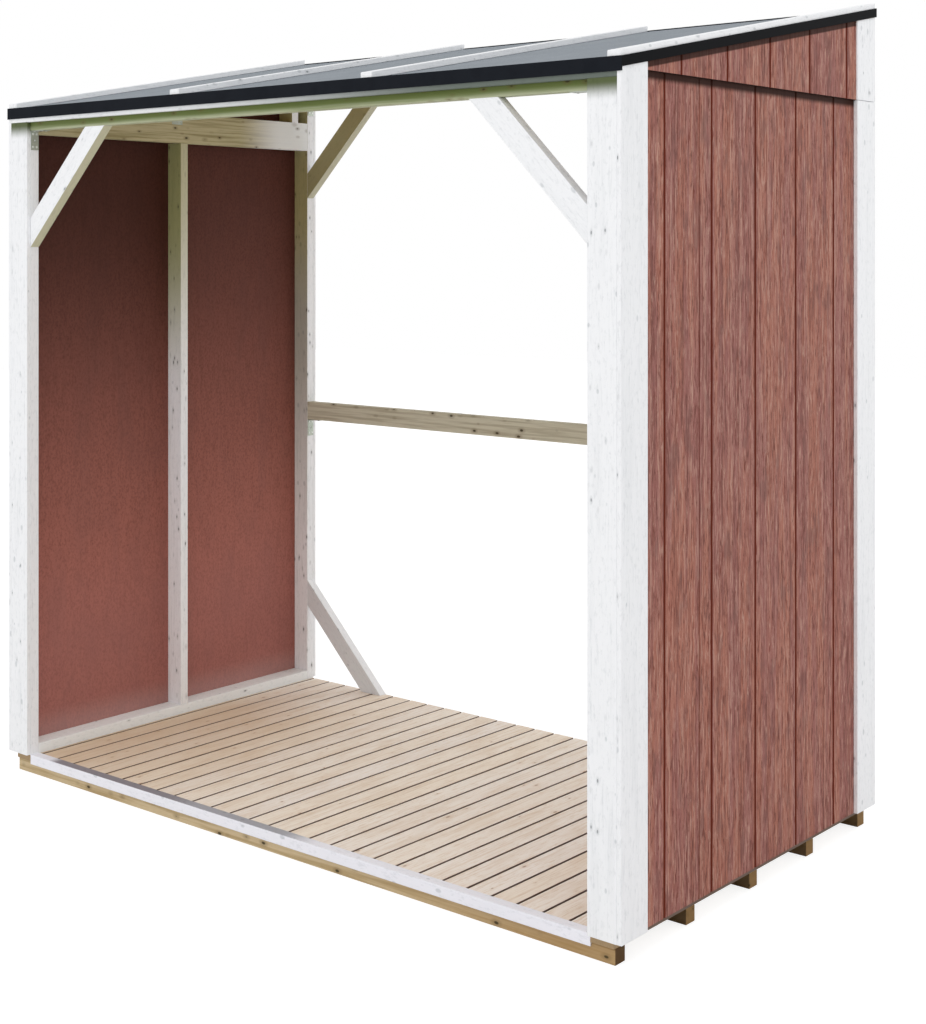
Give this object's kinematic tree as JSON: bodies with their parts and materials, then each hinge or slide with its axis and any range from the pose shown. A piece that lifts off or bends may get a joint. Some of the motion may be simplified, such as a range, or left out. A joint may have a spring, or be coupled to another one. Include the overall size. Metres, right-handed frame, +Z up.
{
  "type": "log store",
  "caption": "Open-fronted timber log store: grooved sheet side walls with white corner boards, slatted floor on bearers, knee-braced frame and a felted mono-pitch roof",
  "frame": {"origin": "on the ground, under the middle of the floor plan", "axes": "+X along the open front to the right, +Y to the back, +Z up"},
  "size_m": [2.248, 1.228, 2.247],
  "materials": {
    "white_paint": "satin white paint on planed softwood",
    "treated_wood": "green-brown pressure-treated softwood",
    "floor_wood": "planed pale softwood",
    "roof_wood": "raw softwood boards",
    "siding": "red-brown stain on grooved, embossed sheet",
    "roofing_felt": "grey mineral-faced bitumen felt",
    "black_trim": "satin black coated edge trim",
    "zinc_steel": "zinc-plated perforated steel"
  },
  "bodies": {
    "root": {"bearer_1": "treated_wood", "bearer_2": "treated_wood", "bearer_3": "treated_wood", "bearer_4": "treated_wood", "bearer_5": "treated_wood", "floor_deck": "floor_wood", "threshold": "white_paint", "left_front_post": "white_paint", "right_front_post": "white_paint", "left_back_post": "white_paint", "right_back_post": "white_paint", "left_mid_stud": "white_paint", "right_mid_stud": "white_paint", "left_sole_plate": "white_paint", "right_sole_plate": "white_paint", "left_top_rail": "treated_wood", "right_top_rail": "treated_wood", "rail_blocks": "treated_wood", "front_beam": "treated_wood", "back_beam": "treated_wood", "back_mid_rail": "treated_wood", "left_front_brace": "white_paint", "right_front_brace": "white_paint", "left_upper_back_brace": "white_paint", "right_upper_back_brace": "white_paint", "left_lower_back_brace": "white_paint", "right_lower_back_brace": "white_paint", "left_wall_sheet": "siding", "right_wall_sheet": "siding", "left_gable_sheet": "siding", "right_gable_sheet": "siding", "left_front_board": "white_paint", "right_front_board": "white_paint", "left_back_board": "white_paint", "right_back_board": "white_paint", "left_front_side_board": "white_paint", "right_front_side_board": "white_paint", "left_back_side_board": "white_paint", "right_back_side_board": "white_paint", "eaves_batten": "white_paint", "rafters": "treated_wood", "roof_boards": "roof_wood", "roof_felt": "roofing_felt", "roof_battens": "white_paint", "roof_trim": "black_trim", "corner_brackets": "zinc_steel"}
  },
  "joints": []
}
